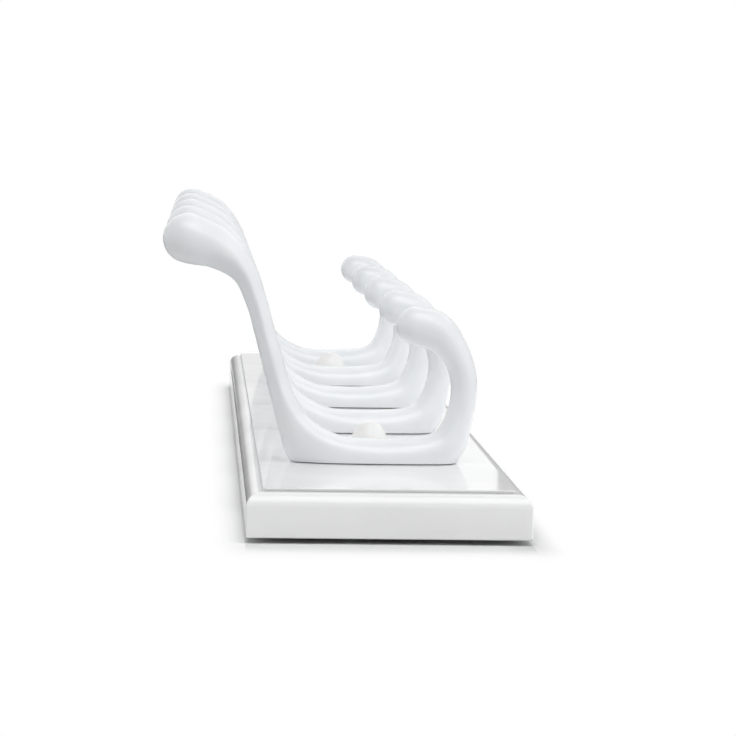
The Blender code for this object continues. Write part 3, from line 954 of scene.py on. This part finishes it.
def make_floor(board):
    """White paper under the rack on a grey table. It takes the rack's shadow, with some more shade at
    the board's ends, and turns to plain white close by for the camera and further off in the gloss."""
    material, tree, shader = new_material("table_white")
    shader.inputs["Roughness"].default_value = 1.0
    shader.inputs["Specular IOR Level"].default_value = 0.0
    coords = add_node(tree, "ShaderNodeTexCoord")
    folded = add_node(tree, "ShaderNodeVectorMath", links={0: coords.outputs["Object"]},
                      operation="ABSOLUTE")
    beyond = add_node(tree, "ShaderNodeVectorMath", {1: (board.x, board.y, 0.0)},
                      {0: folded.outputs[0]}, operation="SUBTRACT")
    outside = add_node(tree, "ShaderNodeVectorMath", links={0: beyond.outputs[0]}, operation="MAXIMUM")
    length = add_node(tree, "ShaderNodeVectorMath", links={0: outside.outputs[0]}, operation="LENGTH")
    distance = length.outputs["Value"]
    middle = (board.x + CORNER_OFFSET[0], -board.y + CORNER_OFFSET[1], 0.0)
    corner = add_node(tree, "ShaderNodeVectorMath", {1: middle},
                      {0: coords.outputs["Object"]}, operation="SUBTRACT")
    shade = product(tree, away(tree, outside.outputs[0], CONTACT_REACH, (CONTACT_SHADE, 1.0)),
                    away(tree, corner.outputs[0], CORNER_REACH, (CORNER_SHADE, 1.0)))
    paper = product(tree, shade, ramp(tree, distance, PAPER_SPAN, PAPER_TONES))
    tree.links.new(paper, shader.inputs["Base Color"])
    path = add_node(tree, "ShaderNodeLightPath").outputs
    mirrored = greater(tree, path["Is Glossy Ray"], path["Is Transmission Ray"])
    white_seen = product(tree, path["Is Camera Ray"],
                         away(tree, outside.outputs[0], SHADOW_REACH, (0.0, 1.0)))
    white_mirrored = product(tree, mirrored, ramp(tree, distance, MIRRORED_FADE, (0.0, 1.0)))
    white = add_node(tree, "ShaderNodeEmission", {"Color": WHITE, "Strength": 1.0})
    mix = add_node(tree, "ShaderNodeMixShader", links={0: greater(tree, white_seen, white_mirrored),
                                                       1: shader.outputs[0], 2: white.outputs[0]})
    tree.links.new(mix.outputs[0], tree.nodes["Material Output"].inputs["Surface"])
    half = TABLE_HALF
    plane_object("table", material,
                 [(-half, -half, 0.0), (half, -half, 0.0), (half, half, 0.0), (-half, half, 0.0)])


def upright(start, end, top):
    """Corners of a card that stands on the table between two points."""
    return [(*start, 0.0), (*end, 0.0), (*end, top), (*start, top)]


def make_cards():
    """Cards that glow instead of being lit and only show in the gloss: painted darker surroundings, and
    the table's shade beside the board, where white would be too bright. Each has a brightness at its foot
    and one at its top."""
    left_end = (-BACK_HALF_WIDTH, CARD_BACK)
    left_seam = (BACK_LEFT_SEAM, CARD_BACK)
    right_seam = (BACK_RIGHT_SEAM, CARD_BACK)
    right_end = (BACK_HALF_WIDTH, CARD_BACK)
    low_right, low_back = LOW_CARD_EDGES
    low_corners = ((-CARD_SIDE, CARD_FRONT), (low_right, CARD_FRONT),
                   (low_right, low_back), (-CARD_SIDE, low_back))
    cards = {
        "back_left_card": ((0.1, 0.9), upright(left_end, left_seam, 0.3)),
        "back_middle_card": ((0.8, 0.8), upright(left_seam, right_seam, 0.22)),
        "back_right_card": ((0.35, 0.35), upright(right_seam, right_end, 1.6)),
        "right_card": ((0.05, 0.05), upright((CARD_SIDE, CARD_FRONT), (CARD_SIDE, CARD_BACK), 1.4)),
        # A dark glowing sheet on the table: painted shade of the table beside the board, seen only in the
        # gloss
        "left_low_card": ((0.1, 0.1), [(x, y, LOW_CARD_HEIGHT) for x, y in low_corners]),
    }
    for name, (tones, corners) in cards.items():
        material, tree, shader = new_material(name)
        tree.nodes.remove(shader)
        coords = add_node(tree, "ShaderNodeTexCoord")
        place = add_node(tree, "ShaderNodeSeparateXYZ", links={0: coords.outputs["Object"]})
        span = (corners[0][2], corners[2][2] + CARD_EDGE)
        glow = add_node(tree, "ShaderNodeEmission", {"Color": WHITE},
                        {"Strength": ramp(tree, place.outputs["Z"], span, tones)})
        tree.links.new(glow.outputs[0], tree.nodes["Material Output"].inputs["Surface"])
        card = plane_object(name, material, corners)
        card.visible_camera = False
        card.visible_diffuse = False
        card.visible_transmission = False
        card.visible_volume_scatter = False
        card.visible_shadow = False


def make_lights():
    """Two softboxes in front, which the gloss mirrors, and three behind and beside, which it doesn't."""
    area_lamp("overhead_front", (0.0, -0.8, 1.4), FRONT_LAMP_AIM, (1.4, 1.4), 15.2, True)
    area_lamp("front_right", (1.1, -1.0, 0.8), FRONT_LAMP_AIM, (1.0, 1.0), 4.2, True)
    area_lamp("overhead_back", (0.0, 1.6, 1.1), BACK_LAMP_AIM, (2.4, 1.2), 24.0, False)
    for name, side, watts in (("side_right", 1, 27.0), ("side_left", -1, 18.0)):
        place = (side * SIDE_LAMP_DISTANCE, *SIDE_LAMP_MIDDLE)
        area_lamp(name, place, (0.0, *SIDE_LAMP_MIDDLE), SIDE_LAMP_SIZE, watts, False)


def main():
    """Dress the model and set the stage."""
    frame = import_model()
    make_pieces(frame)
    make_camera()
    make_world()
    make_floor(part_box("board")[1])
    make_cards()
    make_lights()
    bpy.context.scene.view_settings.view_transform = "Standard"


main()
